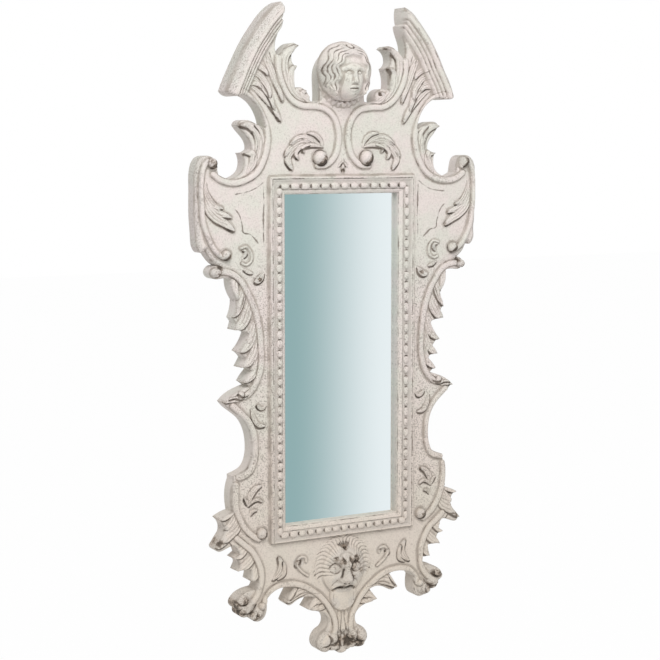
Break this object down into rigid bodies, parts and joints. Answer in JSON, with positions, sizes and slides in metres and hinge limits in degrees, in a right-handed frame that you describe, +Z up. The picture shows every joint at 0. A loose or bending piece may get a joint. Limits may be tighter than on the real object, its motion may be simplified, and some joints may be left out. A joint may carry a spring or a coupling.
{
  "type": "wall mirror",
  "caption": "Tall carved wooden wall mirror with scrolled bands, leaves, winged crest with a head, beaded sight frame and a lion-like mask on the apron.",
  "frame": {"origin": "middle of the keyhole's round entry, on the back plane that lies against the wall", "axes": "+Z up the wall, +Y into the wall so the mirror faces -Y, +X to the right as seen from the front"},
  "size_m": [0.3664, 0.051, 0.751],
  "materials": {
    "painted_wood": "matt chalky antique-white paint with dark wax in the hollows and worn edges",
    "mirror": "silvered float glass",
    "panel": "bare brown hardboard",
    "dowel_wood": "bare beech",
    "button_metal": "brassed and dulled",
    "fixing_metal": "zinc plated"
  },
  "bodies": {
    "frame": {"apron_mask": "painted_wood", "apron_rail": "painted_wood", "back_panel": "panel", "bottom_bead_rail": "painted_wood", "crest_head": "painted_wood", "crest_rail": "painted_wood", "joint_dowels": "dowel_wood", "keyhole_plate": "fixing_metal", "keyhole_screws": "fixing_metal", "left_apron_scroll": "painted_wood", "left_arch_band": "painted_wood", "left_bead_rail": "painted_wood", "left_cornice": "painted_wood", "left_crest_scroll": "painted_wood", "left_crest_spray": "painted_wood", "left_ear_leaf": "painted_wood", "left_ear_rim": "painted_wood", "left_hook_curl": "painted_wood", "left_lower_scroll": "painted_wood", "left_shoulder_scroll": "painted_wood", "left_side_scroll": "painted_wood", "left_stile": "painted_wood", "left_waist_band": "painted_wood", "mirror_glass": "mirror", "right_apron_scroll": "painted_wood", "right_arch_band": "painted_wood", "right_bead_rail": "painted_wood", "right_cornice": "painted_wood", "right_crest_scroll": "painted_wood", "right_crest_spray": "painted_wood", "right_ear_leaf": "painted_wood", "right_ear_rim": "painted_wood", "right_hook_curl": "painted_wood", "right_lower_scroll": "painted_wood", "right_shoulder_scroll": "painted_wood", "right_side_scroll": "painted_wood", "right_stile": "painted_wood", "right_waist_band": "painted_wood", "top_bead_rail": "painted_wood", "turn_button_screws": "fixing_metal"},
    "turn_button_bottom_body": {"turn_button_bottom": "button_metal"},
    "turn_button_left_lower_body": {"turn_button_left_lower": "button_metal"},
    "turn_button_left_upper_body": {"turn_button_left_upper": "button_metal"},
    "turn_button_right_lower_body": {"turn_button_right_lower": "button_metal"},
    "turn_button_right_upper_body": {"turn_button_right_upper": "button_metal"},
    "turn_button_top_body": {"turn_button_top": "button_metal"}
  },
  "joints": [
    {"name": "turn_button_bottom_turn", "type": "hinge", "parent": "frame", "child": "turn_button_bottom_body", "pos_m": [0, -0.005, -0.453], "axis": [0, 1, 0], "range_deg": [-90, 90]},
    {"name": "turn_button_left_lower_turn", "type": "hinge", "parent": "frame", "child": "turn_button_left_lower_body", "pos_m": [-0.091, -0.005, -0.351], "axis": [0, 1, 0], "range_deg": [-90, 90]},
    {"name": "turn_button_left_upper_turn", "type": "hinge", "parent": "frame", "child": "turn_button_left_upper_body", "pos_m": [-0.091, -0.005, -0.143], "axis": [0, 1, 0], "range_deg": [-90, 90]},
    {"name": "turn_button_right_lower_turn", "type": "hinge", "parent": "frame", "child": "turn_button_right_lower_body", "pos_m": [0.091, -0.005, -0.351], "axis": [0, 1, 0], "range_deg": [-90, 90]},
    {"name": "turn_button_right_upper_turn", "type": "hinge", "parent": "frame", "child": "turn_button_right_upper_body", "pos_m": [0.091, -0.005, -0.143], "axis": [0, 1, 0], "range_deg": [-90, 90]},
    {"name": "turn_button_top_turn", "type": "hinge", "parent": "frame", "child": "turn_button_top_body", "pos_m": [0, -0.005, -0.041], "axis": [0, 1, 0], "range_deg": [-90, 90]}
  ]
}
